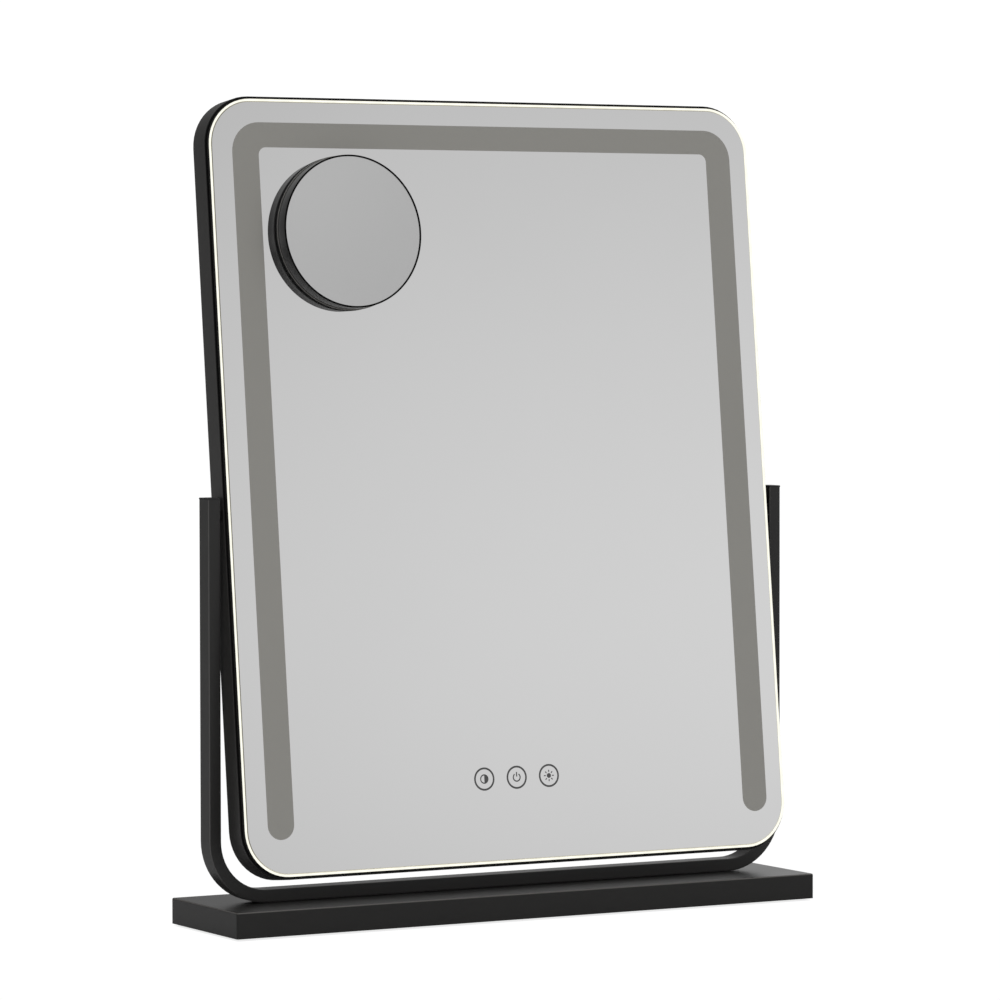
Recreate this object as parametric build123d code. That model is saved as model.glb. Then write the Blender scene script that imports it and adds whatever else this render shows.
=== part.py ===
from build123d import *
import math
import os

# Lighted tabletop mirror on a U-shaped yoke stand. All lengths in millimetres.
# Stand frame: +X to the right as the user faces it, +Y away from the user, +Z up,
# origin at the bottom centre of the base, in the plane of the feet.
# Panel frame: x right, y up the face, z out of the mirror, with the pivot axis
# along x through the origin.
# Cutters run a little past the faces they open.

# ---------------------------------------------------------------- driving sizes
# base
BASE_W, BASE_D, BASE_H = 382.0, 84.3, 14.73
BASE_WALL = 1.6
FOOT_H = 1.2                       # how far the feet stand below the base shell

# yoke: rectangular tube bent to a U
YOKE_HALF_W = 190.35               # outer half width
YOKE_T, YOKE_D, YOKE_WALL = 7.5, 12.0, 1.2
YOKE_R = 36.0                      # outer bend radius
YOKE_TOP = 243.6 + FOOT_H
YOKE_Y = -0.2                      # middle of the tube's depth
YOKE_BOLT_X = 90.0

# pivot
PIVOT_Z = 234.4 + FOOT_H
PIVOT_R = 2.0                      # stud radius
PIVOT_CLEAR = 0.05                 # running clearance, radial
REST_TILT = 6.28                   # degrees the panel leans back at rest

# panel
PANEL_W, PANEL_H, PANEL_R = 361.4, 444.2, 28.7
PANEL_CY = 15.5                    # middle of the panel above the pivot
PANEL_BACK = -9.0
LIP_Z = 6.04                       # front of the frame's lip
RIB_Z = 8.2                        # front of the thin rib round the light ring
FACE_Z = 8.54                      # mirror surface
LIP_W = 1.75
RIB_T = 0.25
WALL_T = 1.6
RING_T = 1.2                       # visible width of the light ring
GLASS_T, GLASS_BEVEL = 4.0, 0.6
LEDGE_Z0, LEDGE_Z1, LEDGE_W = 0.9, 2.4, 8.0

# frosted light band, an upside-down U
BAND_CX = 1.06
BAND_HALF_OUT, BAND_HALF_IN = 165.75, 149.09
BAND_TOP, BAND_TOP_IN = 222.5, 208.2
BAND_END = -183.93
BAND_R_OUT, BAND_R_IN = 17.5, 4.6
BAND_DEPTH = 0.25

# touch marks
MARK_CX, MARK_Y, MARK_PITCH = -2.7, -156.1, 21.45
MARK_R, MARK_LINE, MARK_DEPTH = 6.7, 1.1, 0.12

# round magnifier
MAG_X, MAG_Y, MAG_R, MAG_H = -95.6, 159.35, 43.95, 10.8
COLLAR_W, COLLAR_Z = 0.55, 2.2     # collar round the back: extra radius, front face
MAG_RIM = 1.0
MAG_CURVE = 1600.0                 # radius of the concave face

SIDES = ((-1, "left"), (1, "right"))
TOP, BOTTOM = -1, 0                # ends of a list of faces sorted along z

STAND = Location((0, 0, 0))
TILT = math.radians(REST_TILT)
PANEL = Plane(origin=(0, YOKE_Y, PIVOT_Z), x_dir=(1, 0, 0),
              z_dir=(0, -math.cos(TILT), math.sin(TILT))).location

os.makedirs("parts", exist_ok=True)


# ---------------------------------------------------------------- helpers
def save(name, shapes, place=PANEL):
    """Move one shape or a list of them from its frame into place and write the STEP file."""
    shapes = shapes if isinstance(shapes, (list, tuple)) else [shapes]
    solids = [solid for shape in shapes for solid in (place * shape).solids()]
    piece = solids[0] if len(solids) == 1 else Compound(children=solids)
    piece.label = name
    export_step(piece, "parts/" + name + ".step")


def box(x0, x1, y0, y1, z0, z1):
    return Pos((x0 + x1) / 2, (y0 + y1) / 2, (z0 + z1) / 2) * Box(x1 - x0, y1 - y0, z1 - z0)


def block(width, depth, z0, z1):
    return Pos(0, 0, (z0 + z1) / 2) * Box(width, depth, z1 - z0)


def cyl(x, y, z0, z1, radius):
    return Pos(x, y, (z0 + z1) / 2) * Cylinder(radius, z1 - z0)


def cone(x, y, z0, z1, radius0, radius1):
    return Pos(x, y, (z0 + z1) / 2) * Cone(radius0, radius1, z1 - z0)


def countersink(x, y, z0, z1):
    return cone(x, y, z0, z1, 2.8, 1.6)


def cross_slot(x, y, z, length, width, height):
    """Cutter for a screw's cross slot, centred on the head's outer face."""
    return Pos(x, y, z) * (Box(length, width, height) + Box(width, length, height))


def axis_cyl(side, x0, x1, radius):
    """Cylinder on the panel frame's x axis, on one side."""
    return Pos(side * (x0 + x1) / 2, 0, 0) * Rot(0, 90, 0) * Cylinder(radius, x1 - x0)


def pivot_cyl(side, x0, x1, radius):
    """Cylinder on the pivot axis, in the stand frame."""
    return Pos(0, YOKE_Y, PIVOT_Z) * axis_cyl(side, x0, x1, radius)


def on_pivot(side, x):
    """Place on the pivot axis in the stand frame, local z pointing outward."""
    return Pos(side * x, YOKE_Y, PIVOT_Z) * Rot(0, side * 90, 0)


def layer(sketch, z0, z1):
    return Pos(0, 0, z0) * extrude(sketch, amount=z1 - z0)


def hexagon(x, y, z0, z1, across_flats):
    corner_r = across_flats / 2 / math.cos(math.pi / 6)
    return Pos(x, y, 0) * layer(RegularPolygon(corner_r, 6), z0, z1)


def slab(inset, z0, z1, extra_r=0.0):
    """Slab with the panel's outline drawn in by inset all round."""
    outline = RectangleRounded(PANEL_W - 2 * inset, PANEL_H - 2 * inset,
                               PANEL_R - inset + extra_r)
    return Pos(0, PANEL_CY, 0) * layer(outline, z0, z1)


def round_end(shape, end, radius):
    return fillet(shape.faces().sort_by(Axis.Z)[end].edges(), radius)


def corners(half_x, half_y, cx=0.0, cy=0.0):
    return [(cx + sx * half_x, cy + sy * half_y) for sx in (-1, 1) for sy in (-1, 1)]


def span(side, near, far):
    """Ordered ends of a range on the negative or positive side."""
    return sorted((side * near, side * far))


def centred(count, pitch):
    return [(i - (count - 1) / 2) * pitch for i in range(count)]


# ================================================================ base
SHELL_Z0 = FOOT_H                  # underside of the base shell
BASE_TOP = SHELL_Z0 + BASE_H
ROOF_Z = BASE_TOP - BASE_WALL
PLATE_Z0, PLATE_Z1 = SHELL_Z0 + 0.2, SHELL_Z0 + 1.4
PLATE_GAP = 0.2
BALLAST_W, BALLAST_D = 352, 62
BALLAST_Z0, BALLAST_Z1 = PLATE_Z1 + 0.1, PLATE_Z1 + 10.1
BOSS_XY = corners(184.0, 36.0) + [(0, -36.0), (0, 36.0)]
BOSS_R, BASE_SCREW_R = 3.2, 1.5
FEET_XY = corners(166.0, 27.0)
FOOT_R, FOOT_TOP = 7.5, PLATE_Z0 + 0.4

BOLT_R, BOLT_HOLE_R = 2.5, 2.75
BOLT_HEAD_Z0, BOLT_HEAD_Z1, BOLT_END = 3.0, 6.4, 20.4
WASHER_Z1 = 7.4                    # also the roof of the ballast's counterbores


def base_cover():
    """Cover open underneath, with screw bosses and bolt pads inside."""
    shell = block(BASE_W, BASE_D, SHELL_Z0, BASE_TOP)
    shell = fillet(shell.edges().filter_by(Axis.Z), 1.2)
    shell = round_end(shell, TOP, 0.9)
    shell -= block(BASE_W - 2 * BASE_WALL, BASE_D - 2 * BASE_WALL, SHELL_Z0 - 1, ROOF_Z)
    for x, y in BOSS_XY:
        shell += cyl(x, y, PLATE_Z1, ROOF_Z + 0.4, BOSS_R)
        shell -= cyl(x, y, PLATE_Z1 - 0.1, 11.0, BASE_SCREW_R)
    for side, _ in SIDES:
        x = side * YOKE_BOLT_X
        shell += cyl(x, YOKE_Y, BALLAST_Z1, ROOF_Z + 0.4, 8.0)
        shell -= cyl(x, YOKE_Y, BALLAST_Z1 - 1, BASE_TOP + 1, BOLT_HOLE_R)
    return shell


def base_ballast():
    """Steel bar that keeps the tall panel from tipping the stand."""
    bar = block(BALLAST_W, BALLAST_D, BALLAST_Z0, BALLAST_Z1)
    bar = chamfer(bar.edges().filter_by(Axis.Z), 4)
    for side, _ in SIDES:
        x = side * YOKE_BOLT_X
        bar -= cyl(x, YOKE_Y, BALLAST_Z0 - 1, BALLAST_Z1 + 1, BOLT_HOLE_R)
        bar -= cyl(x, YOKE_Y, BALLAST_Z0 - 1, WASHER_Z1, 5.2)
    return bar


def base_bottom_plate():
    """Closing plate with countersunk holes and four shallow foot recesses."""
    inset = BASE_WALL + PLATE_GAP
    plate = block(BASE_W - 2 * inset, BASE_D - 2 * inset, PLATE_Z0, PLATE_Z1)
    plate = fillet(plate.edges().filter_by(Axis.Z), 1.0)
    for x, y in BOSS_XY:
        plate -= countersink(x, y, PLATE_Z0, PLATE_Z1)
    for x, y in FEET_XY:
        plate -= cyl(x, y, PLATE_Z0 - 1, FOOT_TOP, FOOT_R + 0.1)
    return plate


def base_plate_screw(x, y):
    screw = cone(x, y, PLATE_Z0, PLATE_Z1, 2.75, BASE_SCREW_R)
    screw += cyl(x, y, PLATE_Z1, 10.0, BASE_SCREW_R)
    return screw - cross_slot(x, y, PLATE_Z0, 3.0, 0.6, 1.0)


save("base_cover", base_cover(), STAND)
save("base_ballast", base_ballast(), STAND)
save("base_bottom_plate", base_bottom_plate(), STAND)
save("base_plate_screws", [base_plate_screw(x, y) for x, y in BOSS_XY], STAND)
save("rubber_feet", [round_end(cyl(x, y, 0, FOOT_TOP, FOOT_R), BOTTOM, 0.5)
                     for x, y in FEET_XY], STAND)

# ================================================================ yoke
YOKE_Z0 = BASE_TOP                 # underside of the tube, sitting on the base
YOKE_IN_X = YOKE_HALF_W - YOKE_T   # inner face of an upright
NUT_NECK_R = 3.5                   # rivet nut's neck through the tube's lower wall
CLINCH_NECK_R = 2.7                # clinch nut's neck through the tube's inner wall


def yoke_outline(inset, above):
    """Filled U seen from the front, drawn in by inset and ending above the tube's top."""
    half_w, z0, z1 = YOKE_HALF_W - inset, YOKE_Z0 + inset, YOKE_TOP + above
    outline = Pos(0, (z0 + z1) / 2) * Rectangle(2 * half_w, z1 - z0)
    return fillet(outline.vertices().group_by(Axis.Y)[0], YOKE_R - inset)


def yoke_solid(sketch, inset):
    """Extrude toward the user, from inset inside the tube's rear face to its front."""
    rear = Plane(origin=(0, YOKE_Y + YOKE_D / 2 - inset, 0), x_dir=(1, 0, 0), z_dir=(0, -1, 0))
    return extrude(rear * sketch, amount=YOKE_D - 2 * inset)


def stand_yoke():
    yoke = yoke_solid(yoke_outline(0, 0) - yoke_outline(YOKE_T, 10), 0)
    # edges that run along the tube, leaving out the short ones at its open ends
    long_edges = [e for e in yoke.edges() if abs(e.center().Y - YOKE_Y) > YOKE_D / 2 - 0.01
                  and e.bounding_box().size.Z + e.bounding_box().size.X > YOKE_T + 0.1]
    yoke = fillet(long_edges, 0.8)
    core = yoke_outline(YOKE_WALL, 5) - yoke_outline(YOKE_T - YOKE_WALL, 15)
    yoke -= yoke_solid(core, YOKE_WALL)
    for side, _ in SIDES:
        yoke -= cyl(side * YOKE_BOLT_X, YOKE_Y, YOKE_Z0 - 1, YOKE_Z0 + YOKE_WALL + 0.5,
                    NUT_NECK_R)
        yoke -= pivot_cyl(side, YOKE_IN_X - 1, YOKE_IN_X + YOKE_WALL + 0.5, CLINCH_NECK_R)
    return yoke


def yoke_end_cap(side):
    """Plug that closes an open end of the tube, under a thin cap."""
    x = side * (YOKE_HALF_W - YOKE_T / 2)
    cap = Pos(x, YOKE_Y, YOKE_TOP + 0.5) * Box(YOKE_T - 0.1, YOKE_D - 0.1, 1.0)
    cap = round_end(cap, TOP, 0.35)
    bore_t, bore_d = YOKE_T - 2 * YOKE_WALL, YOKE_D - 2 * YOKE_WALL
    return cap + Pos(x, YOKE_Y, YOKE_TOP - 1.9) * Box(bore_t, bore_d, 3.8)


def yoke_rivet_nut(x):
    seat_z = YOKE_Z0 + YOKE_WALL
    nut = cyl(x, YOKE_Y, seat_z, seat_z + 4.2, 4.2) + cyl(x, YOKE_Y, YOKE_Z0, seat_z, NUT_NECK_R)
    return nut - cyl(x, YOKE_Y, YOKE_Z0 - 1, YOKE_Z0 + 8, BOLT_R)


def yoke_bolt(x):
    bolt = cyl(x, YOKE_Y, BOLT_HEAD_Z0, BOLT_HEAD_Z1, 4.25)
    bolt += cyl(x, YOKE_Y, BOLT_HEAD_Z1, BOLT_END, BOLT_R)
    return bolt - hexagon(x, YOKE_Y, BOLT_HEAD_Z0 - 0.1, 5.2, 3.0)


def yoke_washer(x):
    return cyl(x, YOKE_Y, BOLT_HEAD_Z1, WASHER_Z1, 5.0) - cyl(x, YOKE_Y, 6, 8, BOLT_R)


save("stand_yoke", stand_yoke(), STAND)
for side, side_name in SIDES:
    save("yoke_end_cap_" + side_name, yoke_end_cap(side), STAND)
for name, make in (("yoke_rivet_nuts", yoke_rivet_nut), ("yoke_bolts", yoke_bolt),
                   ("yoke_bolt_washers", yoke_washer)):
    save(name, [make(side * YOKE_BOLT_X) for side, _ in SIDES], STAND)

# ================================================================ pivot hardware
PANEL_SIDE_X = PANEL_W / 2                       # outer face of the panel's side
CHEEK_X0, CHEEK_X1 = 175.5, PANEL_SIDE_X - WALL_T   # hinge bracket cheek, inner, outer
CLINCH_X0 = YOKE_IN_X + YOKE_WALL                # clinch nut body, inside the tube
CLINCH_X1 = CLINCH_X0 + 3.2
LOCK_NUT_T = 3.0


def clinch_nut(side):
    nut = pivot_cyl(side, CLINCH_X0, CLINCH_X1, 3.8)
    nut += pivot_cyl(side, YOKE_IN_X, CLINCH_X0, CLINCH_NECK_R)
    return nut - pivot_cyl(side, YOKE_IN_X - 1, YOKE_IN_X + 6, PIVOT_R)


def spacer(side):
    sleeve = pivot_cyl(side, PANEL_SIDE_X + 0.06, YOKE_IN_X, 2.9)
    return sleeve - pivot_cyl(side, PANEL_SIDE_X - 1, YOKE_IN_X + 1, PIVOT_R)


def friction_washer(side):
    return on_pivot(side, CHEEK_X0 - 0.62) * (Cone(3.9, 3.3, 1.1) - Cylinder(PIVOT_R, 3))


def lock_nut(side):
    nut = extrude(RegularPolygon(4.03, 6), amount=LOCK_NUT_T)
    return on_pivot(side, CHEEK_X0 - 1.2 - LOCK_NUT_T) * (nut - cyl(0, 0, -1, 4, PIVOT_R))


for side, side_name in SIDES:
    save("pivot_clinch_nut_" + side_name, clinch_nut(side), STAND)
    save("pivot_stud_" + side_name, pivot_cyl(side, 170.1, CLINCH_X1, PIVOT_R), STAND)
    save("pivot_spacer_" + side_name, spacer(side), STAND)
    save("friction_washer_" + side_name, friction_washer(side), STAND)
    save("pivot_lock_nut_" + side_name, lock_nut(side), STAND)

# ================================================================ panel frame and hinges
COVER_Z0, COVER_Z1 = PANEL_BACK + 0.2, PANEL_BACK + 2.0
SMALL_SCREW_R = 1.25
# back cover screws stand in from the frame's inner walls
SCREW_DX = PANEL_W / 2 - WALL_T - 3.3
SCREW_DY = PANEL_H / 2 - WALL_T - 3.3
COVER_XY = ([(x, PANEL_CY + end * SCREW_DY) for end in (1, -1) for x in (-110, 0, 110)]
            + [(side * SCREW_DX, y) for side in (-1, 1) for y in (140, -110)])
LUG_X, LUG_Y = 173.4, 15.0         # hinge bracket screws and the frame's lugs for them
ARM_Z0, ARM_Z1 = -3.2, -1.7        # hinge bracket arms; the lugs start at ARM_Z1


def panel_frame():
    frame = slab(0, PANEL_BACK, LIP_Z)
    frame = round_end(frame, TOP, 0.35)
    frame = round_end(frame, BOTTOM, 0.6)
    frame += slab(LIP_W - RIB_T, LIP_Z - 0.5, RIB_Z)
    frame -= slab(LIP_W, LEDGE_Z1, 20)
    frame -= slab(WALL_T, -20, LEDGE_Z0)
    frame -= slab(WALL_T + LEDGE_W, 0, 20, extra_r=0.6)
    adds = [cyl(x, y, COVER_Z1, LEDGE_Z0 + 0.3, 3.5) for x, y in COVER_XY]
    cuts = [cyl(x, y, COVER_Z1 - 0.1, -0.2, SMALL_SCREW_R) for x, y in COVER_XY]
    for side, _ in SIDES:
        for y in (-LUG_Y, LUG_Y):
            adds.append(box(*span(side, 171.4, 175.8), y - 3.2, y + 3.2, ARM_Z1, LEDGE_Z0 + 0.4))
            cuts.append(cyl(side * LUG_X, y, ARM_Z1 - 0.1, 1.9, SMALL_SCREW_R))
        # gap in the ledge at the pivot, and the stud's hole through the side wall
        cuts.append(box(*span(side, 150, PANEL_SIDE_X - WALL_T), -9.5, 9.5,
                        LEDGE_Z0 - 0.1, LEDGE_Z1 + 0.1))
        cuts.append(axis_cyl(side, PANEL_SIDE_X - 3, PANEL_SIDE_X + 1, 2.4))
    frame = frame.fuse(*adds)
    return frame.cut(*cuts)


def hinge_bracket(side):
    """Cheek against the panel's side wall, with a widened arm above and below."""
    cheek_x = span(side, CHEEK_X0, CHEEK_X1)
    bracket = box(*cheek_x, -9.0, 9.0, -5.4, 2.2)
    bracket += box(*cheek_x, -20, 20, ARM_Z0, ARM_Z1)
    for end in (-1, 1):
        bracket += box(*span(side, 169.8, CHEEK_X1), *span(end, 9.4, 20), ARM_Z0, ARM_Z1)
        bracket -= cyl(side * LUG_X, end * LUG_Y, -4, 0, 1.3)
    return bracket - axis_cyl(side, CHEEK_X0 - 1, CHEEK_X1 + 1, PIVOT_R + PIVOT_CLEAR)


def hinge_screw(x, y):
    head_z = ARM_Z0 - 1.5
    screw = cyl(x, y, head_z, ARM_Z0, 2.3) + cyl(x, y, ARM_Z0, 1.6, SMALL_SCREW_R)
    return screw - cross_slot(x, y, head_z, 2.6, 0.6, 1.2)


save("panel_frame", panel_frame())
for side, side_name in SIDES:
    save("hinge_bracket_" + side_name, hinge_bracket(side))
save("hinge_bracket_screws", [hinge_screw(x, y) for x, y in corners(LUG_X, LUG_Y)])

# ================================================================ edge light
GLASS_INSET = LIP_W + RING_T
GLASS_Z0 = FACE_Z - GLASS_T
RING_Z0, RING_FOOT = 3.4, 4.0      # back of the ring, front of its foot behind the glass
EDGE_STRIP_Z1 = 2.65
LED_H = 0.7
EDGE_LED_PITCH = 15


def led(x, y, z0, width, height):
    return Pos(x, y, z0 + LED_H / 2) * Box(width, height, LED_H)


def edge_leds():
    dx, dy = PANEL_W / 2 - LIP_W - 2.0, PANEL_H / 2 - LIP_W - 2.0
    leds = [led(side * dx, PANEL_CY + y, EDGE_STRIP_Z1, 1.4, 3.0)
            for y in centred(26, EDGE_LED_PITCH) for side in (-1, 1)]
    leds += [led(x, PANEL_CY + end * dy, EDGE_STRIP_Z1, 3.0, 1.4)
             for x in centred(20, EDGE_LED_PITCH) for end in (-1, 1)]
    return leds


ring = slab(LIP_W, RING_Z0, FACE_Z)
ring -= slab(GLASS_INSET, RING_FOOT, 20)
ring -= slab(GLASS_INSET + 2.25, 0, 20)
save("edge_light_ring", ring)
save("edge_led_strip", slab(LIP_W + 0.2, LEDGE_Z1, EDGE_STRIP_Z1) - slab(LIP_W + 3.4, 0, 20))
save("edge_leds", edge_leds())
save("glass_tape", slab(GLASS_INSET, RING_FOOT, GLASS_Z0) - slab(GLASS_INSET + 2.15, 0, 20))


# ================================================================ glass, band and marks
def band_sketch(half_out, half_in, top, top_in, r_out, r_in, y_end, rounded=True):
    """Upside-down U, with round or square lower ends."""
    half = (half_out - half_in) / 2
    y0 = y_end + half if rounded else y_end
    outer = Pos(0, (y0 + top) / 2) * Rectangle(2 * half_out, top - y0)
    outer = fillet(outer.vertices().group_by(Axis.Y)[-1], r_out)
    inner = Pos(0, (y0 - 20 + top_in) / 2) * Rectangle(2 * half_in, top_in - y0 + 20)
    inner = fillet(inner.vertices().group_by(Axis.Y)[-1], r_in)
    sketch = outer - inner
    if rounded:
        middle = (half_out + half_in) / 2
        sketch = sketch + Pos(middle, y0) * Circle(half) + Pos(-middle, y0) * Circle(half)
    return Pos(BAND_CX, 0) * sketch


def light_band(grow=0.0):
    return band_sketch(BAND_HALF_OUT + grow, BAND_HALF_IN - grow, BAND_TOP + grow,
                       BAND_TOP_IN - grow, BAND_R_OUT + grow, BAND_R_IN - grow, BAND_END - grow)


def mode_sign():
    """Ring with its right half filled."""
    return (Circle(2.75) - Circle(2.05)) + (Circle(2.75) & Pos(1.5, 0) * Rectangle(3.0, 6.0))


def power_sign():
    """Ring open at the top, with square ends, and an upright bar in the gap."""
    radius, line, start, end, steps = 2.25, 0.75, 125, 415, 24
    wedge = [(0, 0)]
    for i in range(steps + 1):
        angle = math.radians(start + (end - start) * i / steps)
        wedge.append((3 * radius * math.cos(angle), 3 * radius * math.sin(angle)))
    full_ring = Circle(radius + line / 2) - Circle(radius - line / 2)
    arc = full_ring & make_face(Polyline(*wedge, close=True))
    return arc + Pos(0, 1.75) * Rectangle(line, 2.7)


def brightness_sign():
    """Small sun with eight rays."""
    ray_in, ray_out, ray_w = 2.35, 3.05, 0.65
    sun = Circle(1.4)
    for k in range(8):
        angle = math.radians(45 * k)
        middle = (ray_in + ray_out) / 2
        sun += (Pos(middle * math.cos(angle), middle * math.sin(angle)) * Rot(0, 0, 45 * k)
                * SlotCenterToCenter(ray_out - ray_in, ray_w))
    return sun


def touch_mark(column, sign):
    place = Pos(MARK_CX + column * MARK_PITCH, MARK_Y)
    return place * (Circle(MARK_R) - Circle(MARK_R - MARK_LINE)) + place * sign


band = light_band()
marks = {"mode": touch_mark(-1, mode_sign()),
         "power": touch_mark(0, power_sign()),
         "brightness": touch_mark(1, brightness_sign())}
MARK_Z0, BAND_Z0 = FACE_Z - MARK_DEPTH, FACE_Z - BAND_DEPTH

glass = slab(GLASS_INSET, GLASS_Z0, FACE_Z)
glass = chamfer(glass.faces().sort_by(Axis.Z)[TOP].edges(), GLASS_BEVEL)
glass -= layer(band, BAND_Z0, BAND_Z0 + 2)
for name, sketch in marks.items():
    glass -= layer(sketch, MARK_Z0, MARK_Z0 + 2)
    save("touch_mark_" + name, layer(sketch, MARK_Z0, FACE_Z))
save("mirror_glass", glass)
save("frosted_light_band", layer(band, BAND_Z0, FACE_Z))

# ================================================================ light tray behind the glass
GROW = 1.2                         # channel wall round the band
TRAY_Z0, TRAY_Z1, CHANNEL_Z = -0.3, 0.9, 3.0
JACK_X, JACK_Y = 60.0, -172.0
MID_X = (BAND_HALF_OUT + BAND_HALF_IN) / 2
MID_Y = (BAND_TOP + BAND_TOP_IN) / 2
BAND_STRIP_HALF, BAND_STRIP_T = 4, 0.4
BAND_LED_PITCH = 12
grown_band = light_band(GROW)


def light_tray():
    tray = slab(WALL_T + 0.8, TRAY_Z0, TRAY_Z1)
    tray += layer(grown_band, TRAY_Z1 - 0.3, CHANNEL_Z)
    tray -= layer(band, TRAY_Z1, TRAY_Z1 + 5)
    for x, y in COVER_XY:
        tray -= cyl(x, y, -5, 5, 4.0)
    for side, _ in SIDES:                # room for the hinge brackets
        tray -= box(*span(side, 168.9, 190), -21, 21, -5, 5)
    tray -= cyl(JACK_X, JACK_Y, -5, 2, 6.5)
    tray -= box(28, 46, -158, -128, -5, 2)       # touch cable
    tray -= box(122, 143, -121, -110, -5, 2)     # light cable
    return tray


def band_leds():
    z0 = TRAY_Z1 + BAND_STRIP_T
    leds = [led(BAND_CX + side * MID_X, -164 + BAND_LED_PITCH * i, z0, 2.8, 3.5)
            for i in range(31) for side in (-1, 1)]
    return leds + [led(BAND_CX + x, MID_Y, z0, 3.5, 2.8) for x in centred(24, BAND_LED_PITCH)]


band_strip = band_sketch(MID_X + BAND_STRIP_HALF, MID_X - BAND_STRIP_HALF,
                         MID_Y + BAND_STRIP_HALF, MID_Y - BAND_STRIP_HALF,
                         12.0, 4.0, -172.0, rounded=False)
save("light_tray", light_tray())
save("band_diffuser", layer(grown_band, CHANNEL_Z, GLASS_Z0))
save("band_led_strip", layer(band_strip, TRAY_Z1, TRAY_Z1 + BAND_STRIP_T))
save("band_leds", band_leds())

# ================================================================ electronics
TOUCH_Z0, TOUCH_Z1 = 3.0, 4.2      # touch board
BOARD_X, BOARD_Y = 84.0, -118.0    # driver board centre
BOARD_HALF_W, BOARD_HALF_H = 45, 18
BOARD_Z0, BOARD_Z1 = -4.6, -3.0
STANDOFF_XY = corners(40, 13, BOARD_X, BOARD_Y)
STANDOFF_SCREW_R = 1.1
JACK_R, PIN_R = 4.0, 1.05
WIRE_Z = -2.0                      # height of the wires at the driver board


def driver_board():
    board = Pos(BOARD_X, BOARD_Y) * block(2 * BOARD_HALF_W, 2 * BOARD_HALF_H, BOARD_Z0, BOARD_Z1)
    for x, y in STANDOFF_XY:
        board -= cyl(x, y, -6, -2, 1.15)
    return board


def driver_components():
    z0 = BOARD_Z1
    parts = [box(-10, -2, -4, 4, z0, -0.9), box(8, 14, -3, 2, z0, -1.6),
             cyl(24, 0, z0, -0.8, 3.0), cyl(-20, 4, z0, -0.8, 2.5),
             box(-28, -20, -18, -12, z0, -1.0),      # power connector
             box(-45, -40, -4, 4, z0, -1.0),         # touch connector
             box(35, 45, -4, 4, z0, -1.0)]           # light connector
    return [Pos(BOARD_X, BOARD_Y) * part for part in parts]


def driver_screw(x, y):
    head_z = BOARD_Z1 + 1.4
    screw = cyl(x, y, BOARD_Z1, head_z, 2.2) + cyl(x, y, -6.4, BOARD_Z1, STANDOFF_SCREW_R)
    return screw - cross_slot(x, y, head_z, 2.4, 0.5, 1.0)


def power_jack():
    """Round socket through the back cover, with a flange outside."""
    jack = round_end(cyl(JACK_X, JACK_Y, COVER_Z0 - 1.4, COVER_Z0, 5.75), BOTTOM, 0.3)
    jack += cyl(JACK_X, JACK_Y, COVER_Z0, 2.8, JACK_R)
    jack -= cyl(JACK_X, JACK_Y, -12, 1.0, 2.8)
    return jack - cyl(JACK_X, JACK_Y, 0.9, 4.0, PIN_R)


def cable(points, radius, direction):
    """Round cable that leaves its first point and meets its last in one direction."""
    path = Spline(*points, tangents=[direction, direction])
    return sweep(Plane(path @ 0, z_dir=path % 0) * Circle(radius), path)


save("touch_board", box(MARK_CX - 38, MARK_CX + 38, MARK_Y - 10, MARK_Y + 10, TOUCH_Z0, TOUCH_Z1)
     + box(22, 30, MARK_Y - 3, MARK_Y + 3, 1.5, TOUCH_Z0))
save("touch_pads", [cyl(MARK_CX + k * MARK_PITCH, MARK_Y, TOUCH_Z1, GLASS_Z0, 6.0)
                    for k in (-1, 0, 1)])
save("driver_board", driver_board())
save("driver_components", driver_components())
save("driver_board_screws", [driver_screw(x, y) for x, y in STANDOFF_XY])
save("power_jack", power_jack())
save("power_jack_pin", round_end(cyl(JACK_X, JACK_Y, COVER_Z0 - 0.4, 3.6, PIN_R), BOTTOM, 0.5))
save("power_jack_nut", hexagon(JACK_X, JACK_Y, COVER_Z1, COVER_Z1 + 2.0, 11.0)
     - cyl(JACK_X, JACK_Y, -10, 0, JACK_R))
save("power_cable", cable([(JACK_X, JACK_Y + 4.05, WIRE_Z),
                           (BOARD_X - 24, BOARD_Y - BOARD_HALF_H, WIRE_Z)], 0.85, (0, 1, 0)))
save("touch_cable", cable([(30.0, MARK_Y, 2.25), (36.0, -149, 1.0), (35.0, -135, -1.5),
                           (33.0, -124, -2.0), (BOARD_X - BOARD_HALF_W, BOARD_Y, WIRE_Z)],
                          0.7, (1, 0, 0)))
save("light_cable", cable([(BOARD_X + BOARD_HALF_W, BOARD_Y, WIRE_Z), (136.0, -116, 0.0),
                           (143.5, -115, 1.8), (BAND_CX + BAND_HALF_IN - GROW, -115, 1.95)],
                          0.7, (1, 0, 0)))


# ================================================================ back cover
def back_cover():
    cover = round_end(slab(WALL_T + 0.2, COVER_Z0, COVER_Z1), BOTTOM, 0.4)
    for x, y in STANDOFF_XY:
        cover += cyl(x, y, COVER_Z1 - 0.2, BOARD_Z0, 2.6)
        cover -= cyl(x, y, -6.6, BOARD_Z0 + 0.1, STANDOFF_SCREW_R)
    for x, y in COVER_XY:
        cover -= countersink(x, y, COVER_Z0, COVER_Z1)
    return cover - cyl(JACK_X, JACK_Y, -10, -5, JACK_R)


def cover_screw(x, y):
    screw = cone(x, y, COVER_Z0, COVER_Z1, 2.7, SMALL_SCREW_R)
    screw += cyl(x, y, COVER_Z1, -0.4, SMALL_SCREW_R)
    return screw - cross_slot(x, y, COVER_Z0, 2.8, 0.6, 1.2)


save("back_cover", back_cover())
save("back_cover_screws", [cover_screw(x, y) for x, y in COVER_XY])

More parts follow.
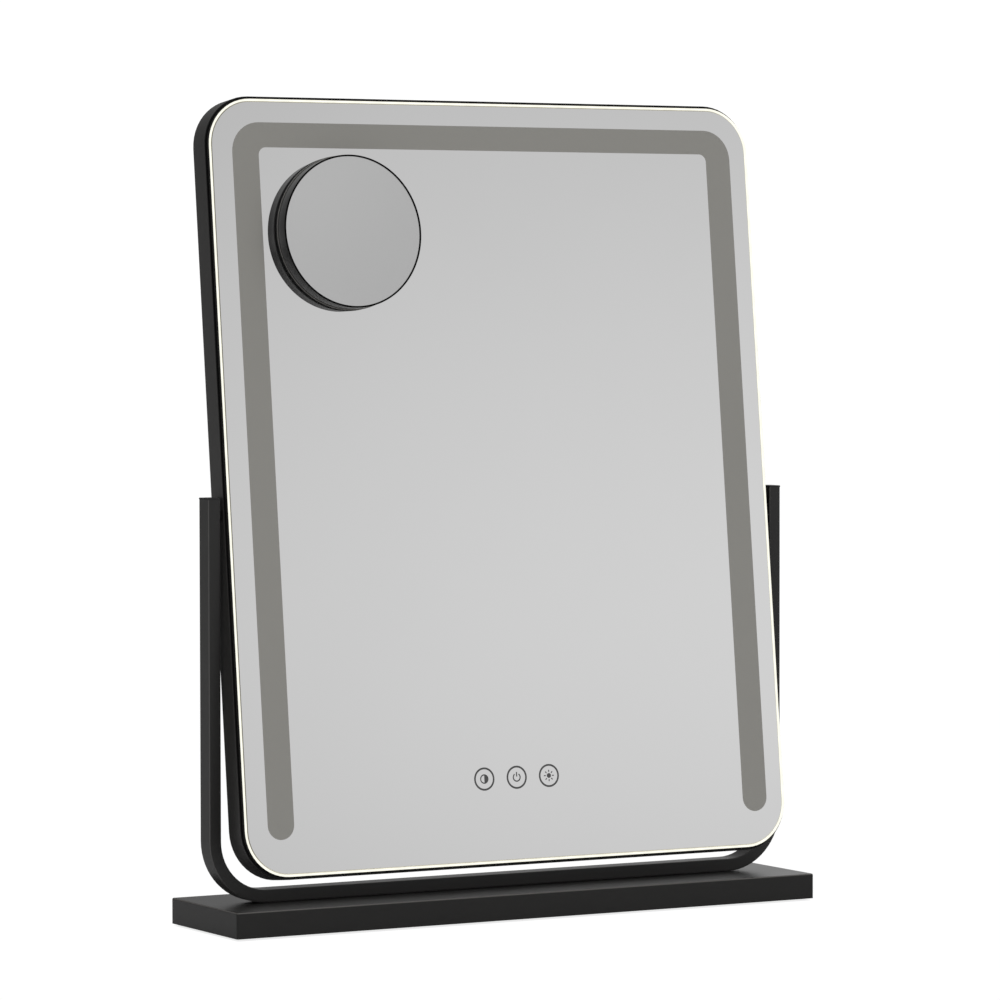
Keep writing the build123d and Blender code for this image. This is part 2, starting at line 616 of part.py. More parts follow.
# ================================================================ magnifier
# built round its own axis, with z = 0 on the mirror surface
MAG_PLACE = Pos(MAG_X, MAG_Y, FACE_Z)
MAG_REAR = 0.4
WEB_Z0, WEB_Z1 = 3.0, 4.4          # wall across the housing
LENS_Z0, LENS_EDGE_Z = 6.2, MAG_H - 0.35
LENS_R = MAG_R - MAG_RIM
CUP_XY = [(25 * math.cos(math.radians(90 + 120 * k)), 25 * math.sin(math.radians(90 + 120 * k)))
          for k in range(3)]
CUP_LIFT = 0.02                    # gap between the cups and the mirror surface
# suction cup half section: (radius, z)
CUP_PROFILE = [(0, 0.9), (8.6, 0.0), (9.6, 0.0), (9.6, 0.25), (5.0, 1.9), (3.2, 2.90),
               (2.45, 2.95), (2.45, 4.45), (3.6, 4.5), (3.2, 5.6), (0, 5.6)]


def magnifier_housing():
    housing = round_end(cyl(0, 0, MAG_REAR, MAG_H, MAG_R), TOP, 0.3)
    collar = cyl(0, 0, MAG_REAR, COLLAR_Z, MAG_R + COLLAR_W)
    housing += fillet(collar.edges(), 0.2)
    housing -= cyl(0, 0, WEB_Z1, 20, LENS_R)
    housing -= cyl(0, 0, -1, WEB_Z0, MAG_R - 1.4)
    for x, y in CUP_XY:
        housing -= cyl(x, y, 2, 6, 2.5)
    return housing


def magnifier_tape():
    tape = cyl(0, 0, WEB_Z1, LENS_Z0, 38.0)
    for x, y in CUP_XY:
        tape -= cyl(x, y, 4, 7, 4.6)
    return tape


def magnifier_mirror():
    centre_z = LENS_EDGE_Z + math.sqrt(MAG_CURVE ** 2 - LENS_R ** 2)
    return (cyl(0, 0, LENS_Z0, LENS_EDGE_Z, LENS_R)
            - Pos(0, 0, centre_z) * Rot(90, 0, 0) * Sphere(MAG_CURVE))


save("magnifier_housing", MAG_PLACE * magnifier_housing())
save("magnifier_tape", MAG_PLACE * magnifier_tape())
save("magnifier_mirror", MAG_PLACE * magnifier_mirror())
cup = revolve(Plane.XZ * make_face(Polyline(*CUP_PROFILE, close=True)), Axis.Z, 360)
save("suction_cups", [MAG_PLACE * (Pos(x, y, CUP_LIFT) * cup) for x, y in CUP_XY])
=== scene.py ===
# A lit table mirror: a tilting rectangular panel in a yoke on a weighted base, with a small
# magnifying mirror. It stands on z = 0 with the glass facing -Y and leaning back; +X is to the
# right as seen from the front. This script gives the loaded pieces their materials and builds
# the floor, the studio lighting and the camera. Units are metres.
import math

import bpy
from mathutils import Matrix, Vector


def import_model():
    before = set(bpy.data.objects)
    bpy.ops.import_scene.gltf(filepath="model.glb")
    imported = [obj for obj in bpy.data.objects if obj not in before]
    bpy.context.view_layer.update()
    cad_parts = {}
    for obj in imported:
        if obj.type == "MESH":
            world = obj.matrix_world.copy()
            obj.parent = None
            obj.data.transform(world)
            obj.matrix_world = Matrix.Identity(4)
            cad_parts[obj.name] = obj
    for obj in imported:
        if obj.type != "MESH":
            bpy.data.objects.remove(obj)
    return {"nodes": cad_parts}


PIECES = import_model()["nodes"]


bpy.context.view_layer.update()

# ------------------------------------------------------------------ driving dimensions
PANEL_TILT = math.radians(6.28)
PANEL_PIVOT = (0.0, -0.0002, 0.2356)
PANEL_OUT = (0.0, -math.cos(PANEL_TILT), math.sin(PANEL_TILT))  # straight out of the mirror

# heights along PANEL_OUT
GLASS_FACE = 0.00854                                  # above the pivot
COLLAR_FADE = (GLASS_FACE + 0.00225, GLASS_FACE + 0.00275)  # where the magnifier's collar ends
WALL_SPAN = (GLASS_FACE + 0.0028, GLASS_FACE + 0.0100)      # magnifier wall, collar to rim

DIODE_PITCH = 0.015
FLOOR_HALF = 60.0
WHITE = (1, 1, 1, 1)
TO_DEGREES = 180 / math.pi


# ------------------------------------------------------------------ node helpers
class Nodes:
    """Makes and links the shader nodes of one material or world.

    Any value handed to a method is either a number or colour, or the output of another node.
    """

    def __init__(self, owner, output_kind):
        owner.use_nodes = True
        self.owner = owner
        self.tree = owner.node_tree
        self.tree.nodes.clear()
        self.next_x = -1600
        self.output = self.node(output_kind)

    def node(self, kind, inputs=None, **settings):
        made = self.tree.nodes.new(kind)
        made.location = (self.next_x, 0)
        self.next_x += 60
        for setting, value in settings.items():
            setattr(made, setting, value)
        for socket, value in (inputs or {}).items():
            self.put(made.inputs[socket], value)
        return made

    def put(self, socket, value):
        if isinstance(value, bpy.types.NodeSocket):
            self.tree.links.new(value, socket)
        else:
            socket.default_value = value

    def finish(self, shader):
        """Links the shader to the output and returns the material or world."""
        self.put(self.output.inputs[0], shader)
        return self.owner

    def coordinate(self, kind):
        return self.node("ShaderNodeTexCoord").outputs[kind]

    def split(self, vector):
        return self.node("ShaderNodeSeparateXYZ", {0: vector}).outputs

    def math(self, operation, first, second=None, clamp=False):
        inputs = {0: first}
        if second is not None:
            inputs[1] = second
        made = self.node("ShaderNodeMath", inputs, operation=operation, use_clamp=clamp)
        return made.outputs[0]

    def add(self, first, second, clamp=False):
        return self.math("ADD", first, second, clamp)

    def subtract(self, first, second):
        return self.math("SUBTRACT", first, second)

    def multiply(self, first, second):
        return self.math("MULTIPLY", first, second)

    def vary(self, value, factor, by):
        """value + factor * by"""
        return self.add(value, self.multiply(factor, by))

    def lessen(self, value, factor, by):
        """value - factor * by"""
        return self.subtract(value, self.multiply(factor, by))

    def weighted(self, first, first_weight, second, second_weight):
        return self.vary(self.multiply(first, first_weight), second, second_weight)

    def offset(self, vector, origin):
        made = self.node("ShaderNodeVectorMath", {0: vector, 1: origin}, operation="SUBTRACT")
        return made.outputs["Vector"]

    def dot(self, vector, direction):
        made = self.node("ShaderNodeVectorMath", {0: vector, 1: direction},
                         operation="DOT_PRODUCT")
        return made.outputs["Value"]

    def facing(self, direction):
        """How far the object's normal points along the direction: 1 along, -1 against."""
        return self.dot(self.coordinate("Normal"), direction)

    def ramp(self, value, start, end, low=0.0, high=1.0, smooth=True):
        """Goes from low to high while the value goes from start to end."""
        made = self.node(
            "ShaderNodeMapRange",
            {"Value": value, "From Min": start, "From Max": end, "To Min": low, "To Max": high},
            interpolation_type="SMOOTHSTEP" if smooth else "LINEAR", clamp=True)
        return made.outputs["Result"]

    def mix(self, factor, first, second):
        made = self.node("ShaderNodeMix", data_type="RGBA")
        for index, value in ((0, factor), (6, first), (7, second)):
            self.put(made.inputs[index], value)
        return made.outputs[2]

    def mix_value(self, factor, first, second):
        made = self.node("ShaderNodeMix", data_type="FLOAT")
        for index, value in ((0, factor), (2, first), (3, second)):
            self.put(made.inputs[index], value)
        return made.outputs[0]

    def mix_shader(self, factor, first, second):
        return self.node("ShaderNodeMixShader", {0: factor, 1: first, 2: second}).outputs[0]

    def mottle(self, factor, colour, low, high):
        """The colour, scaled between low and high by the factor."""
        return self.mix(factor, scaled(colour, low), scaled(colour, high))

    def noise(self, vector, scale, detail=2.0, rough=0.5):
        made = self.node("ShaderNodeTexNoise", {"Vector": vector, "Scale": scale,
                                                "Detail": detail, "Roughness": rough})
        return made.outputs["Fac"]

    def cells(self, vector, scale):
        made = self.node("ShaderNodeTexVoronoi", {"Vector": vector, "Scale": scale})
        return made.outputs["Distance"]

    def stretched(self, vector, scale):
        made = self.node("ShaderNodeMapping", {"Vector": vector, "Scale": scale})
        return made.outputs[0]

    def bump(self, height, distance, strength=1.0):
        made = self.node("ShaderNodeBump", {"Strength": strength, "Distance": distance,
                                            "Height": height})
        return made.outputs["Normal"]

    def principled(self, **values):
        """Each name is an input's name, with underscores for spaces."""
        inputs = {name.replace("_", " "): value for name, value in values.items()}
        return self.node("ShaderNodeBsdfPrincipled", inputs).outputs[0]


def grey(value):
    return (value, value, value, 1)


def scaled(colour, factor):
    return tuple(min(1.0, channel * factor) for channel in colour) + (1,)


def material_nodes(name):
    return Nodes(bpy.data.materials.new(name), "ShaderNodeOutputMaterial")


def start_material(name):
    """The node maker for a new material, and the position on the object."""
    nodes = material_nodes(name)
    return nodes, nodes.coordinate("Object")


# ------------------------------------------------------------------ materials
def satin_black(name, base, rough, edge, axis, warm, spec=0.5, dark_lip=False):
    """Powder coat with fine orange peel. The rounded edges carry a painted highlight, lighter by
    the edge amount, and are glossier; they are found by how far their normal leans from the
    axis."""
    grain_size = 0.00045
    nodes, place = start_material(name)
    fine = nodes.noise(place, scale=1.0 / grain_size, detail=3.0, rough=0.6)
    broad = nodes.noise(place, scale=22.0, detail=3.0, rough=0.55)
    peel = nodes.noise(place, scale=1.0 / (grain_size * 4.5), detail=1.0)
    lean = nodes.math("ABSOLUTE", nodes.facing(axis))
    # mask of the rounded edges, which get a painted highlight and more gloss
    edge_highlight_mask = nodes.multiply(nodes.ramp(lean, start=0.18, end=0.5),
                          nodes.ramp(lean, start=0.86, end=0.985, low=1.0, high=0.0))
    cool = 2.0 - warm
    tone = nodes.mix(broad, (base * 0.88 * warm, base * 0.88, base * 0.88 * cool, 1),
                     (base * 1.13 * warm, base * 1.12, base * 1.10 * cool, 1))
    speck = nodes.ramp(nodes.noise(place, scale=2600.0, detail=0.0), start=0.70, end=0.80)
    tone = nodes.mix(nodes.multiply(speck, 0.18), tone, grey(base * 2.2))
    # painted highlight: the colour of the rounded edges is lifted by the edge amount
    painted_edge_highlight_tone = ((base + edge) * warm, base + edge, (base + edge) * cool, 1)
    tone = nodes.mix(nodes.multiply(edge_highlight_mask, 0.8), tone, painted_edge_highlight_tone)
    gloss = nodes.vary(rough - 0.04, broad, by=0.06)
    gloss = nodes.vary(gloss, fine, by=0.03)
    gloss = nodes.lessen(gloss, edge_highlight_mask, by=0.12)
    normal = nodes.bump(nodes.weighted(fine, 0.55, peel, 1.0), distance=0.000004)
    if dark_lip:
        # the narrow lip beside the light ring is left matt and deep black
        lip = nodes.ramp(lean, start=0.75, end=0.95)
        tone = nodes.mix(lip, tone, grey(0.0035))
        spec = nodes.multiply(nodes.lessen(1.0, lip, by=0.7), spec)
    return nodes.finish(nodes.principled(
        Base_Color=tone, Roughness=gloss, Normal=normal, Specular_IOR_Level=spec))


def housing_plastic(name):
    """Glossy black wall between a matt front rim and a matt collar at the back. The wall next to
    the collar and the collar's small front-facing ring carry painted highlights. Normal and
    height above the glass tell the parts apart."""
    wall = 0.0048  # brightness of the side wall
    nodes, place = start_material(name)
    fine = nodes.noise(place, scale=1700.0, detail=3.0, rough=0.6)
    broad = nodes.noise(place, scale=30.0, detail=3.0, rough=0.55)
    lean = nodes.facing(PANEL_OUT)
    height = nodes.dot(nodes.offset(place, PANEL_PIVOT), PANEL_OUT)

    # masks for the parts
    low = nodes.ramp(height, *COLLAR_FADE, low=1.0, high=0.0)
    # the collar's front-facing ring, which gets a painted highlight
    front = nodes.ramp(lean, start=0.35, end=0.9)
    step_highlight = nodes.multiply(front, low)
    collar = nodes.subtract(low, step_highlight)
    rim = nodes.subtract(front, step_highlight)
    matt = nodes.add(collar, rim, clamp=True)

    # painted highlight: the wall is painted lighter next to the collar, and it gets duller
    # towards the front rim
    fade = nodes.ramp(height, *WALL_SPAN, smooth=False)
    collar_highlight = nodes.ramp(fade, start=0.0, end=0.45, low=1.0, high=0.0)
    tone = nodes.mix(broad, (wall * 0.88 * 1.04, wall * 0.88, wall * 0.84, 1),
                     (wall * 1.15 * 1.04, wall * 1.15, wall * 1.09, 1))
    # painted highlights next to the collar and on the collar's front-facing ring; the rim and
    # collar are matt finishes
    for mask, colour in (
        (collar_highlight, (0.0190, 0.0182, 0.0170, 1)),
        (rim, grey(0.0028)),
        (collar, grey(0.0140)),
        (step_highlight, (0.265, 0.257, 0.242, 1)),
    ):
        tone = nodes.mix(mask, tone, colour)
    gloss = nodes.vary(nodes.vary(0.15, broad, by=0.05), matt, by=0.45)
    spec = nodes.multiply(nodes.lessen(0.72, fade, by=0.42), nodes.lessen(1.0, matt, by=0.85))
    return nodes.finish(nodes.principled(
        Base_Color=tone, Roughness=gloss, Normal=nodes.bump(fine, distance=0.0000015),
        Specular_IOR_Level=spec))


def textured_plastic(name, colour=(0.016, 0.016, 0.017), *, rough, cell, depth):
    """Moulded plastic with a fine spark-eroded grain, cell wide and depth deep."""
    nodes, place = start_material(name)
    cells = nodes.cells(place, scale=1.0 / cell)
    fine = nodes.noise(place, scale=2.2 / cell, rough=0.6)
    broad = nodes.noise(place, scale=14.0, detail=3.0)
    tone = nodes.mottle(nodes.weighted(broad, 0.5, fine, 0.5), colour, low=0.86, high=1.15)
    return nodes.finish(nodes.principled(
        Base_Color=tone, Roughness=nodes.vary(rough - 0.04, broad, by=0.08),
        Normal=nodes.bump(nodes.weighted(cells, 0.8, fine, 0.4), distance=depth),
        Specular_IOR_Level=0.45))


def gloss_plastic(name):
    nodes, place = start_material(name)
    broad = nodes.noise(place, scale=40.0, detail=3.0)
    fine = nodes.noise(place, scale=900.0)
    return nodes.finish(nodes.principled(
        Base_Color=nodes.mottle(broad, (0.008, 0.008, 0.009), low=0.85, high=1.2),
        Roughness=nodes.vary(0.13, broad, by=0.07),
        Normal=nodes.bump(fine, distance=0.000003), Specular_IOR_Level=0.5))


def metal(name, colour, rough, stretch=(1, 1, 1), scale=900.0, depth=0.000006, cloud=0.12):
    """Drawn or plated metal: fine lines, run along one way by stretch, and slight clouding."""
    nodes, place = start_material(name)
    lines = nodes.noise(nodes.stretched(place, stretch), scale=scale, detail=4.0, rough=0.65)
    broad = nodes.noise(place, scale=60.0, detail=3.0, rough=0.6)
    return nodes.finish(nodes.principled(
        Base_Color=nodes.mottle(broad, colour, low=1 - cloud, high=1 + cloud), Metallic=1.0,
        Roughness=nodes.vary(rough - 0.08, lines, by=0.16),
        Normal=nodes.bump(lines, distance=depth)))


def rubber(name, colour, rough):
    nodes, place = start_material(name)
    fine = nodes.noise(place, scale=2500.0, detail=3.0, rough=0.7)
    broad = nodes.noise(place, scale=90.0)
    return nodes.finish(nodes.principled(
        Base_Color=nodes.mottle(broad, colour, low=0.8, high=1.3), Roughness=rough,
        Normal=nodes.bump(fine, distance=0.00002), Specular_IOR_Level=0.35))


def silvered_face(nodes, place, brightness, haze):
    """The shader of an even mirror with a breath of haze."""
    smudge = nodes.noise(place, scale=9.0, detail=4.0, rough=0.6)
    film = nodes.ramp(smudge, start=0.35, end=0.75)
    ripple = nodes.noise(place, scale=5.0, detail=1.0)
    return nodes.principled(
        Base_Color=nodes.mottle(film, (brightness,) * 3, low=1.0, high=0.992), Metallic=1.0,
        Roughness=nodes.vary(0.004 + haze, film, by=0.012),
        Normal=nodes.bump(ripple, distance=0.00001))


def concave_mirror(name):
    nodes, place = start_material(name)
    return nodes.finish(silvered_face(nodes, place, brightness=0.80, haze=0.20))


def bevelled_mirror(name):
    """Mirror glass with a slightly brown ground edge, toned by which way it faces: painted shade
    on the left, painted light on the right and a bright painted highlight below.
    """
    nodes, place = start_material(name)
    face = silvered_face(nodes, place, brightness=0.955, haze=0.0)
    normal = nodes.coordinate("Normal")
    flat = nodes.ramp(nodes.dot(normal, PANEL_OUT), start=0.90, end=0.985)
    rightward = nodes.dot(normal, (1.0, 0.0, 0.0))
    downward = nodes.dot(normal, (0.0, 0.0, -1.0))
    line = nodes.noise(place, scale=700.0)
    shaded_edge_tone = nodes.mix(line, (0.20, 0.188, 0.155, 1), (0.26, 0.245, 0.20, 1))
    light = nodes.mix(line, (0.42, 0.405, 0.36, 1), (0.50, 0.485, 0.43, 1))
    # painted shade on the left-facing ground edge, painted light on the right-facing one
    tone = nodes.mix(nodes.ramp(rightward, start=-0.62, end=0.15), shaded_edge_tone, light)
    # painted highlight on the downward-facing ground edge
    tone = nodes.mix(nodes.ramp(downward, start=0.15, end=0.6), tone, (0.72, 0.70, 0.64, 1))
    bevel = nodes.principled(Base_Color=tone, Roughness=0.30, Specular_IOR_Level=0.4,
                             Metallic=0.25)
    return nodes.finish(nodes.mix_shader(flat, bevel, face))


def frosted_glass(name):
    """Sandblasted glass over an unlit diffuser: soft, faintly warm grey with a fine grain."""
    nodes, place = start_material(name)
    grain = nodes.noise(place, scale=3200.0, detail=3.0, rough=0.7)
    broad = nodes.noise(place, scale=6.0)
    tone = nodes.mix(nodes.weighted(grain, 0.35, broad, 0.65),
                     (0.445, 0.436, 0.405, 1), (0.490, 0.480, 0.446, 1))
    return nodes.finish(nodes.principled(
        Base_Color=tone, Roughness=0.42, Normal=nodes.bump(grain, distance=0.000012),
        Specular_IOR_Level=0.5, Metallic=0.55))


def printed_ink(name):
    nodes, place = start_material(name)
    grain = nodes.noise(place, scale=5200.0, rough=0.6)
    return nodes.finish(nodes.principled(
        Base_Color=nodes.mottle(grain, (0.125,) * 3, low=0.8, high=1.25), Roughness=0.5,
        Specular_IOR_Level=0.4, Normal=nodes.bump(grain, distance=0.000006)))


def lit_opal(name):
    """Opal acrylic lit from behind by a row of diodes: even, with a slight beat along it."""
    strength = 0.92
    nodes, place = start_material(name)
    x, _, z = nodes.split(place)
    beat = nodes.math("SINE", nodes.multiply(nodes.add(x, z), 2 * math.pi / DIODE_PITCH))
    grain = nodes.noise(place, scale=1800.0, rough=0.6)
    emission = nodes.vary(strength, beat, by=0.05 * strength)
    emission = nodes.vary(emission, nodes.subtract(grain, 0.5), by=0.10 * strength)
    return nodes.finish(nodes.principled(
        Base_Color=(0.30, 0.295, 0.26, 1), Roughness=0.35,
        Emission_Color=(1.0, 0.985, 0.86, 1), Emission_Strength=emission,
        Normal=nodes.bump(grain, distance=0.000006)))


def circuit_board(name, base, trace):
    """Solder mask over tracks that run in straight lines."""
    nodes, place = start_material(name)
    tracks = nodes.node("ShaderNodeTexBrick", {
        "Vector": nodes.stretched(place, (520, 520, 520)),
        "Scale": 1.0, "Mortar Size": 0.06}).outputs["Fac"]
    fine = nodes.noise(place, scale=1500.0)
    return nodes.finish(nodes.principled(
        Base_Color=nodes.mix(tracks, base + (1,), trace + (1,)),
        Roughness=nodes.vary(0.25, fine, by=0.12),
        Normal=nodes.bump(tracks, distance=0.00002, strength=0.7)))


def foam(name):
    nodes, place = start_material(name)
    cells = nodes.cells(place, scale=2600.0)
    return nodes.finish(nodes.principled(
        Base_Color=nodes.mottle(cells, (0.03, 0.03, 0.032), low=0.6, high=1.6), Roughness=0.9,
        Normal=nodes.bump(cells, distance=0.00006), Specular_IOR_Level=0.2))


def silicone(name):
    nodes, place = start_material(name)
    broad = nodes.noise(place, scale=120.0)
    return nodes.finish(nodes.principled(
        Base_Color=nodes.mix(broad, (0.72, 0.74, 0.76, 1), (0.82, 0.84, 0.86, 1)),
        Roughness=0.18, Transmission_Weight=0.75, IOR=1.41,
        Normal=nodes.bump(broad, distance=0.00002)))


base_coat = satin_black("base_powder_coat", base=0.0105, rough=0.31, edge=0.11,
                        axis=(0, 0, 1), warm=1.06)
yoke_coat = satin_black("yoke_powder_coat", base=0.0265, rough=0.38, edge=0.10,
                        axis=(0, 1, 0), warm=1.02)
frame_coat = satin_black("frame_satin_paint", base=0.0275, rough=0.33, edge=0.0,
                         axis=PANEL_OUT, warm=1.03, spec=0.62, dark_lip=True)
grained = textured_plastic("black_grained_plastic", (0.024, 0.024, 0.025),
                           rough=0.47, cell=0.0009, depth=0.00005)
fine_plastic = textured_plastic("black_fine_plastic", rough=0.5, cell=0.0004, depth=0.000012)
gloss_black = gloss_plastic("gloss_black_plastic")
housing_black = housing_plastic("magnifier_black_plastic")
white_plastic = textured_plastic("white_moulded_plastic", (0.72, 0.72, 0.70),
                                 rough=0.5, cell=0.0006, depth=0.00001)
opal_plastic = textured_plastic("opal_diffuser", (0.80, 0.80, 0.78),
                                rough=0.45, cell=0.0005, depth=0.000008)
steel = metal("plain_steel", (0.50, 0.50, 0.51), rough=0.32)
zinc = metal("zinc_plate", (0.60, 0.61, 0.60), rough=0.36, scale=500.0, cloud=0.2)
black_zinc = metal("black_zinc_screw", (0.045, 0.045, 0.048), rough=0.34, scale=600.0)
spring_steel = metal("spring_steel", (0.38, 0.38, 0.40), rough=0.28)
copper = metal("copper_foil", (0.80, 0.42, 0.26), rough=0.30, scale=400.0)
brass = metal("plated_contact", (0.80, 0.66, 0.34), rough=0.22)
ballast_metal = metal("blackened_bar", (0.12, 0.12, 0.125), rough=0.55, stretch=(1, 8, 8),
                      scale=120.0, depth=0.00004, cloud=0.3)
plate_zinc = metal("bottom_plate_zinc", (0.50, 0.51, 0.52), rough=0.40, stretch=(1, 10, 1),
                   scale=160.0, depth=0.00001, cloud=0.10)
feet_rubber = rubber("feet_rubber", (0.015, 0.015, 0.015), rough=0.75)
lead_sleeve = rubber("lead_sleeve", (0.02, 0.02, 0.021), rough=0.5)
clear_silicone = silicone("clear_silicone")
foam_tape = foam("foam_tape")
board_green = circuit_board("board_green", base=(0.010, 0.085, 0.035), trace=(0.022, 0.16, 0.07))
board_white = circuit_board("board_white", base=(0.70, 0.70, 0.68), trace=(0.62, 0.60, 0.55))
phosphor = textured_plastic("diode_phosphor", (0.80, 0.66, 0.25),
                            rough=0.4, cell=0.0003, depth=0.000006)
component_black = textured_plastic("component_black", (0.02, 0.02, 0.022),
                                   rough=0.45, cell=0.0003, depth=0.000006)
silver = bevelled_mirror("mirror_silver")
silver_concave = concave_mirror("mirror_concave")
frosted_band = frosted_glass("frosted_band")
mark_grey = printed_ink("touch_mark_grey")
lit_ring = lit_opal("lit_opal_ring")

MATERIAL_OF = {
    # base
    "base_cover": base_coat, "base_ballast": ballast_metal, "base_bottom_plate": plate_zinc,
    "base_plate_screws": black_zinc, "rubber_feet": feet_rubber,
    # yoke and pivots
    "stand_yoke": yoke_coat,
    "yoke_end_cap_left": fine_plastic, "yoke_end_cap_right": fine_plastic,
    "yoke_rivet_nuts": zinc, "yoke_bolts": black_zinc, "yoke_bolt_washers": zinc,
    "pivot_clinch_nut_left": zinc, "pivot_clinch_nut_right": zinc,
    "pivot_stud_left": steel, "pivot_stud_right": steel,
    "pivot_spacer_left": fine_plastic, "pivot_spacer_right": fine_plastic,
    "friction_washer_left": spring_steel, "friction_washer_right": spring_steel,
    "pivot_lock_nut_left": zinc, "pivot_lock_nut_right": zinc,
    # panel
    "panel_frame": frame_coat, "hinge_bracket_left": steel, "hinge_bracket_right": steel,
    "hinge_bracket_screws": black_zinc, "edge_light_ring": lit_ring,
    "edge_led_strip": board_white, "edge_leds": phosphor, "glass_tape": foam_tape,
    "mirror_glass": silver, "frosted_light_band": frosted_band,
    "touch_mark_mode": mark_grey, "touch_mark_power": mark_grey,
    "touch_mark_brightness": mark_grey,
    # lights and electronics
    "light_tray": white_plastic, "band_diffuser": opal_plastic,
    "band_led_strip": board_white, "band_leds": phosphor,
    "touch_board": board_green, "touch_pads": copper, "driver_board": board_green,
    "driver_components": component_black, "driver_board_screws": zinc,
    "power_jack": gloss_black, "power_jack_pin": brass, "power_jack_nut": zinc,
    "power_cable": lead_sleeve, "touch_cable": lead_sleeve, "light_cable": lead_sleeve,
    "back_cover": grained, "back_cover_screws": black_zinc,
    # magnifier
    "magnifier_housing": housing_black, "magnifier_tape": foam_tape,
    "magnifier_mirror": silver_concave, "suction_cups": clear_silicone,
}
for piece_name, material in MATERIAL_OF.items():
    piece = PIECES[piece_name]
    if not piece.material_slots:
        piece.data.materials.append(material)
    for slot in piece.material_slots:
        slot.material = material


def link_object(name, data):
    made = bpy.data.objects.new(name, data)
    bpy.context.scene.collection.objects.link(made)
    return made


# ------------------------------------------------------------------ floor
def floor_material():
    """White to the camera, with a painted contact shadow close to the object; mid grey to every
    other ray.
    """
    nodes = material_nodes("pale_floor")
    openness = nodes.node("ShaderNodeAmbientOcclusion", {"Distance": 0.16}, samples=12)
    # painted contact shadow: the floor's glow is dimmed where the object occludes it
    painted_shadow_strength = nodes.ramp(openness.outputs["AO"], start=0.05, end=0.50, low=0.80, high=1.02,
                      smooth=False)
    seen = nodes.node("ShaderNodeEmission", {"Strength": painted_shadow_strength, "Color": WHITE})
    paint = nodes.node("ShaderNodeBsdfDiffuse", {"Color": grey(0.53)})
    to_camera = nodes.node("ShaderNodeLightPath").outputs["Is Camera Ray"]
    return nodes.finish(nodes.mix_shader(to_camera, paint.outputs[0], seen.outputs[0]))


floor_mesh = bpy.data.meshes.new("floor")
floor_corners = [(x * FLOOR_HALF, y * FLOOR_HALF, 0)
                 for x, y in ((-1, -1), (1, -1), (1, 1), (-1, 1))]
floor_mesh.from_pydata(floor_corners, [], [(0, 1, 2, 3)])
floor = link_object("floor", floor_mesh)
floor_mesh.materials.append(floor_material())


# ------------------------------------------------------------------ studio
def soft_limit(nodes, value, limit=1.5):
    """The value itself well inside the limit, easing smoothly to +-limit outside it."""
    ratio = nodes.math("ABSOLUTE", nodes.multiply(value, 1.0 / limit))
    excess = nodes.math("POWER", ratio, 8.0)
    return nodes.multiply(value, nodes.math("POWER", nodes.add(excess, 1.0), -0.125))


def front_screen(nodes, x, y, elevation):
    """Brightness of a soft screen in front of the mirror, falling off upwards and leftwards."""
    azimuth = nodes.math("ARCTAN2", x, nodes.multiply(y, -1.0))
    azimuth = nodes.multiply(azimuth, TO_DEGREES)
    # degrees from the screen's centre, over the degrees that count as one unit
    across = soft_limit(nodes, nodes.multiply(nodes.subtract(azimuth, 29.0), 1 / 3.0))
    up = soft_limit(nodes, nodes.multiply(nodes.subtract(elevation, 9.5), 1 / 4.0))
    # weight and term of the brightness polynomial
    terms = (
        (0.02848, across),
        (-0.05921, up),
        (-0.01105, nodes.multiply(across, across)),
        (-0.00886, nodes.multiply(across, up)),
        (-0.0383, nodes.multiply(up, up)),
        (0.01834, nodes.multiply(up, nodes.multiply(up, up))),
    )
    screen = 0.58821  # brightness at the centre
    for weight, term in terms:
        screen = nodes.vary(screen, term, by=weight)
    mirror_loss = 0.951  # the screen is brightened to make up for this
    return nodes.multiply(screen, 1.0 / mirror_loss)


def build_world():
    world = bpy.data.worlds.new("studio")
    bpy.context.scene.world = world
    nodes = Nodes(world, "ShaderNodeOutputWorld")
    x, y, z = nodes.split(nodes.coordinate("Generated"))
    elevation = nodes.multiply(nodes.math("ARCSINE", z), TO_DEGREES)
    screen = front_screen(nodes, x, y, elevation)

    # the room is darker on the left and below, and bright above
    side = nodes.ramp(x, start=-1.0, end=0.45, low=0.62, high=1.0)
    above = nodes.ramp(elevation, start=22.0, end=75.0, low=1.0, high=1.75)
    below = nodes.ramp(elevation, start=-60.0, end=-2.0, low=0.75, high=1.0)
    # the backdrop behind the object is lit from the right
    azimuth = nodes.multiply(nodes.math("ARCTAN2", x, y), TO_DEGREES)
    backdrop = nodes.ramp(azimuth, start=23.0, end=36.0, low=0.43, high=1.40)
    backdrop = nodes.mix_value(nodes.ramp(y, start=0.0, end=0.35), 1.0, backdrop)
    room = nodes.multiply(nodes.multiply(side, above), nodes.multiply(below, screen))
    room = nodes.multiply(room, backdrop)

    # the camera itself sees plain white
    to_camera = nodes.node("ShaderNodeLightPath").outputs["Is Camera Ray"]
    strength = nodes.mix_value(to_camera, room, 1.05)
    background = nodes.node("ShaderNodeBackground", {"Color": WHITE, "Strength": strength})
    nodes.finish(background.outputs[0])


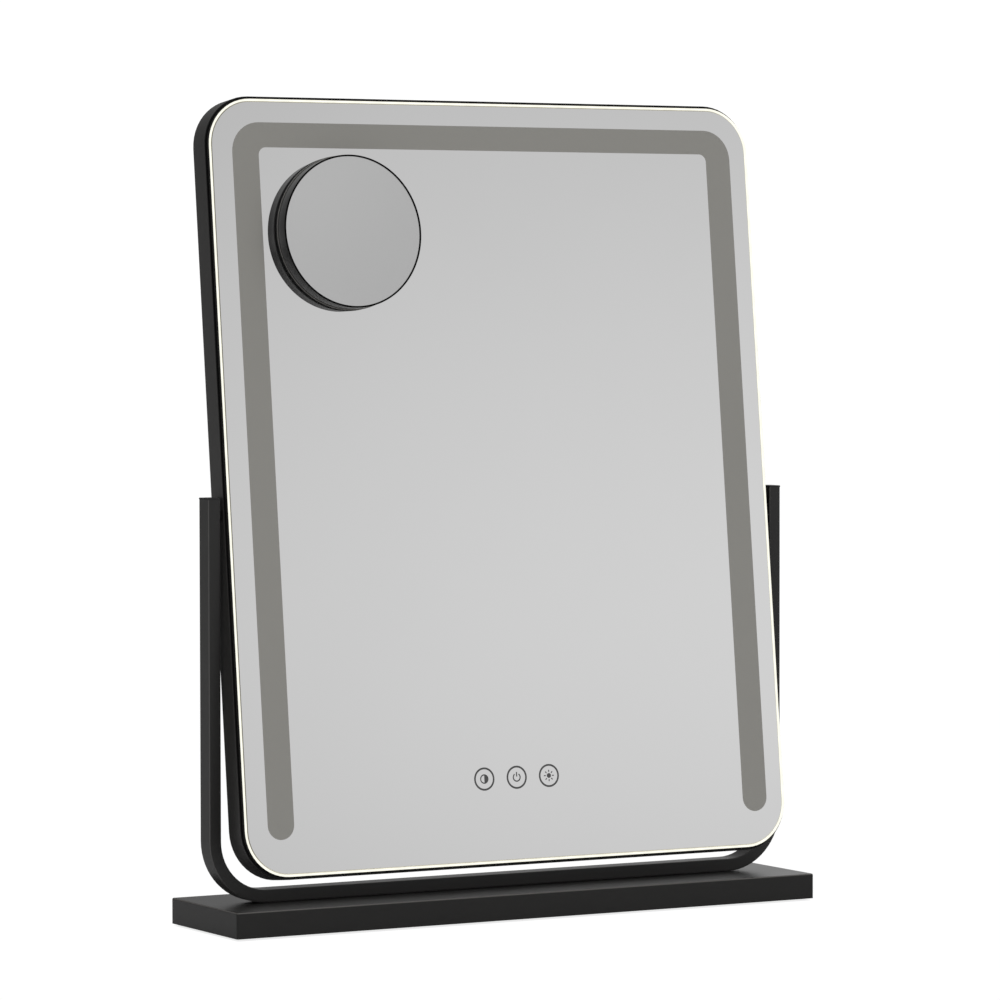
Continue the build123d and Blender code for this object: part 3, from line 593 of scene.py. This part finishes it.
def area_light(name, place, size, power):
    """A soft rectangle aimed at the object, hidden from the camera and from reflections."""
    target = Vector((0, 0, 0.2))
    data = bpy.data.lights.new(name, "AREA")
    data.shape = "RECTANGLE"
    data.size, data.size_y = size
    data.energy = power
    light = link_object(name, data)
    light.location = place
    light.rotation_mode = "QUATERNION"
    light.rotation_quaternion = (target - Vector(place)).to_track_quat("-Z", "Y")
    light.visible_camera = False
    light.visible_glossy = False


build_world()
area_light("soft_top", place=(-0.5, 0.2, 2.1), size=(1.6, 1.2), power=14.0)
area_light("soft_left", place=(-2.2, -0.9, 0.9), size=(1.0, 1.4), power=6.0)

# ------------------------------------------------------------------ camera
SENSOR_WIDTH = 36.0   # mm
LENS = 176.3457876    # mm
CAMERA_TARGET = Vector((0.0010567, 0.0, 0.2406593))
CAMERA_DISTANCE = 2.846662
CAMERA_AZIMUTH = math.radians(29.4579)  # of the view, turned from +Y towards +X
CAMERA_PITCH = math.radians(2.2392)     # downwards
CAMERA_ROLL = math.radians(-0.0915)


def build_camera():
    data = bpy.data.cameras.new("camera")
    camera = link_object("camera", data)
    data.sensor_width = SENSOR_WIDTH
    data.lens = LENS
    data.clip_start, data.clip_end = 0.05, 200.0

    forward = Vector((math.sin(CAMERA_AZIMUTH) * math.cos(CAMERA_PITCH),
                      math.cos(CAMERA_AZIMUTH) * math.cos(CAMERA_PITCH),
                      -math.sin(CAMERA_PITCH)))
    level_right = Vector((math.cos(CAMERA_AZIMUTH), -math.sin(CAMERA_AZIMUTH), 0))
    level_up = level_right.cross(forward)
    right = level_right * math.cos(CAMERA_ROLL) + level_up * math.sin(CAMERA_ROLL)
    up = -level_right * math.sin(CAMERA_ROLL) + level_up * math.cos(CAMERA_ROLL)
    pose = Matrix((right, up, -forward)).transposed().to_4x4()
    pose.translation = CAMERA_TARGET - forward * CAMERA_DISTANCE
    camera.matrix_world = pose
    bpy.context.scene.camera = camera


build_camera()
bpy.context.scene.view_settings.view_transform = "Standard"
bpy.context.scene.view_settings.look = "None"
